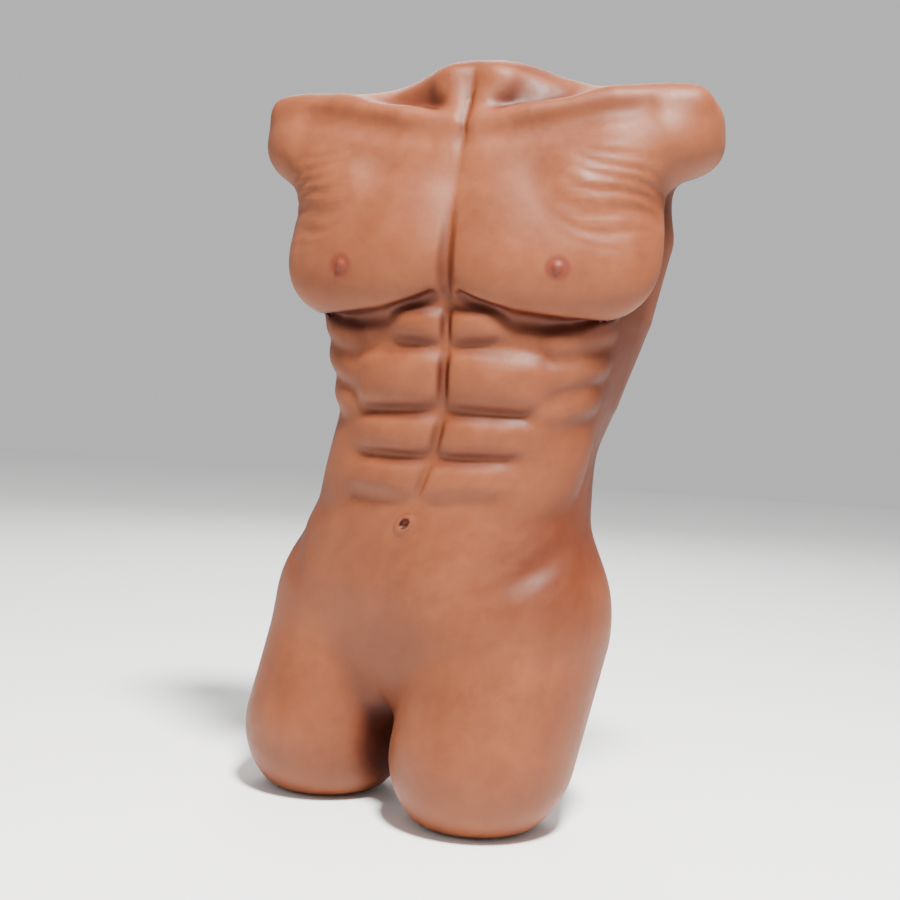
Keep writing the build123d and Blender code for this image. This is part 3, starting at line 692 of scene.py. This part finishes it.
def moulded_material(name, dark, light, roughness, grain):
    """Plastic, rubber, lining or foam: two close shades and a fine grain of this many ridges to the metre."""
    made, shader = material(name, Roughness=roughness)
    shades = noise(made, 30)
    colour = ramp(made, shades.outputs["Fac"], [(0.35, dark), (0.65, light)])
    link(made, colour.outputs["Color"], shader.inputs["Base Color"])
    bump(made, shader, noise(made, grain, 2).outputs["Fac"], 0.25, 0.0003)
    return made


BLACK_COAT = ((0.010, 0.010, 0.011), (0.017, 0.017, 0.018))
TURNED_STEEL = ((0.48, 0.48, 0.48), (0.60, 0.60, 0.60))
ZINC = ((0.55, 0.55, 0.52), (0.68, 0.68, 0.64))


def metal_material(name, shades_of, metallic, gloss_range, grain, depth):
    """Painted, plated or turned steel, with a surface texture of this grain and depth."""
    (dark, light), (smoothest, roughest) = shades_of, gloss_range
    made, shader = material(name, Metallic=metallic)
    shades = noise(made, 45, 5)
    colour = ramp(made, shades.outputs["Fac"], [(0.35, dark), (0.65, light)])
    link(made, colour.outputs["Color"], shader.inputs["Base Color"])
    gloss = ramp(made, shades.outputs["Fac"], [(0.3, (smoothest,) * 3), (0.7, (roughest,) * 3)])
    link(made, gloss.outputs["Color"], shader.inputs["Roughness"])
    bump(made, shader, noise(made, grain, 2).outputs["Fac"], 0.3, depth)
    return made


def dress_armature():
    """Gives every carried-over CAD node the material of its slot."""
    made = {
        "foam": foam_material(),
        "sleeve": moulded_material("sleeve", (0.030, 0.032, 0.037), (0.045, 0.047, 0.053), 0.8, 1400),
        "nylon": moulded_material("nylon", (0.72, 0.70, 0.62), (0.80, 0.78, 0.71), 0.45, 900),
        "friction": moulded_material("friction", (0.055, 0.036, 0.020), (0.100, 0.066, 0.040), 0.85, 2200),
        "armature": metal_material("armature", BLACK_COAT, 0.0, (0.38, 0.52), 1500, 0.0002),
        "bare_steel": metal_material("bare_steel", TURNED_STEEL, 1.0, (0.24, 0.38), 2600, 0.00005),
        "zinc": metal_material("zinc", ZINC, 1.0, (0.20, 0.34), 400, 0.00004),
    }
    for subpart in frame["record"]["subparts"]:
        if subpart["material_slot"] in made:
            for place in frame["nodes"][subpart["node"]].material_slots:
                place.material = made[subpart["material_slot"]]
    return made


# ---- The soft parts inside, as pieces of their own ----
def own_copy(node_name, name):
    """A soft CAD solid's mesh as a piece of its own."""
    source = frame["nodes"][node_name]
    piece = bpy.data.objects.new(name, source.data.copy())
    bpy.context.scene.collection.objects.link(piece)
    return piece


SLEEVE_WALL = 4
SLEEVE_RINGS, SLEEVE_SIDES = 19, 64


def sleeve_tube():
    """The joint's sleeve: rings of points up the outside and down the inside of a tube."""
    low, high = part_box("joint_sleeve")
    middle = (low + high) / 2
    outer = (high.x - low.x) / 2
    levels = np.linspace(low.z, high.z, SLEEVE_RINGS)
    section = [(outer, z) for z in levels] + [(outer - SLEEVE_WALL * MM, z) for z in levels[::-1]]
    turns = 2 * pi * np.arange(SLEEVE_SIDES) / SLEEVE_SIDES
    vertices = np.array(
        [(middle.x + r * cos(t), middle.y + r * sin(t), z) for t in turns for r, z in section]
    )
    count = len(section)
    faces = []
    for turn in range(SLEEVE_SIDES):
        here, there = turn * count, (turn + 1) % SLEEVE_SIDES * count
        for i in range(count):
            after = (i + 1) % count
            faces.append((here + i, there + i, there + after, here + after))
    mesh = new_mesh("sleeve", vertices, np.array(faces))
    mesh.shade_smooth()
    mesh.set_sharp_from_angle(angle=radians(40))
    piece = bpy.data.objects.new("sleeve", mesh)
    bpy.context.scene.collection.objects.link(piece)
    return piece


# ---- Stage, lights and camera ----
FLOOR_HALF = 6
WORLD_STRENGTH = 0.6


def stage():
    corners = [(x * FLOOR_HALF, y * FLOOR_HALF, 0) for x, y in ((-1, -1), (1, -1), (1, 1), (-1, 1))]
    mesh = bpy.data.meshes.new("floor")
    mesh.from_pydata(corners, [], [(0, 1, 2, 3)])
    floor = bpy.data.objects.new("floor", mesh)
    bpy.context.scene.collection.objects.link(floor)
    made, _ = material("floor", Base_Color=(0.86, 0.86, 0.86, 1), Roughness=0.9)
    floor.data.materials.append(made)


def area_light(name, place, target, size, power, colour=(1, 1, 1)):
    light = bpy.data.lights.new(name, "AREA")
    light.shape = "DISK"
    light.size = size
    light.energy = power
    light.color = colour
    lamp = bpy.data.objects.new(name, light)
    lamp.location = place
    direction = np.array(target, float) - np.array(place, float)
    lamp.rotation_euler = Vector(direction).to_track_quat("-Z", "Y").to_euler()
    bpy.context.scene.collection.objects.link(lamp)


def camera():
    """Stands a little to the figure's left, level with its middle, and is rolled by CAMERA_ROLL."""
    azimuth, elevation = radians(CAMERA_AZIMUTH), radians(CAMERA_ELEVATION)
    away = Vector((sin(azimuth) * cos(elevation), -cos(azimuth) * cos(elevation), sin(elevation)))
    data = bpy.data.cameras.new("camera")
    data.sensor_width = 36
    data.lens = CAMERA_LENS
    data.shift_x, data.shift_y = CAMERA_SHIFT
    view = bpy.data.objects.new("camera", data)
    view.location = Vector((0, (SPINE_Y - SPINE_BACK) * MM, HEIGHT * MM / 2)) + away * CAMERA_DISTANCE
    turn = (-away).to_track_quat("-Z", "Y").to_matrix() @ Matrix.Rotation(radians(CAMERA_ROLL), 3, "Z")
    view.rotation_euler = turn.to_euler()
    bpy.context.scene.collection.objects.link(view)
    bpy.context.scene.camera = view


CAMERA_AZIMUTH, CAMERA_ELEVATION, CAMERA_ROLL = 18.8, 1.0, 3
CAMERA_DISTANCE = 1.249
CAMERA_LENS = 53.3
CAMERA_SHIFT = (-0.0263, -0.0131)

world = bpy.data.worlds.new("world")
world.use_nodes = True
world.node_tree.nodes["Background"].inputs["Color"].default_value = (1, 1, 1, 1)
world.node_tree.nodes["Background"].inputs["Strength"].default_value = WORLD_STRENGTH
bpy.context.scene.world = world

stage()
area_light("key", (0.72, -1.05, 2.5), (0, 0, 0.42), 0.45, 320, (1, 0.97, 0.93))
area_light("back", (-0.9, 2.1, 1.9), (0, 0, 0.4), 1.6, 45, (1, 0.98, 0.96))
area_light("fill", (-1.7, -1.5, 1.1), (0, 0, 0.4), 0.8, 4, (1, 0.97, 0.93))
camera()

lower, upper = skin_pieces()
skin = skin_material()
for piece in (lower, upper):
    piece.data.materials.append(skin)
armature_materials = dress_armature()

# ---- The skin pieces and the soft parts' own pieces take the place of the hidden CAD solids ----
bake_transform(lower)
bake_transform(upper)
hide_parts("hip_skin")
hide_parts("waist_skin", "chest_skin")

hip_foam = own_copy("hip_foam_core", "hip_foam")
chest_foam = own_copy("chest_foam_core", "chest_foam")
sleeve = sleeve_tube()
sleeve.data.materials.append(armature_materials["sleeve"])
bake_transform(hip_foam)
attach(chest_foam, "chest")
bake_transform(sleeve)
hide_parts("hip_foam_core")
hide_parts("chest_foam_core")
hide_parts("joint_sleeve")
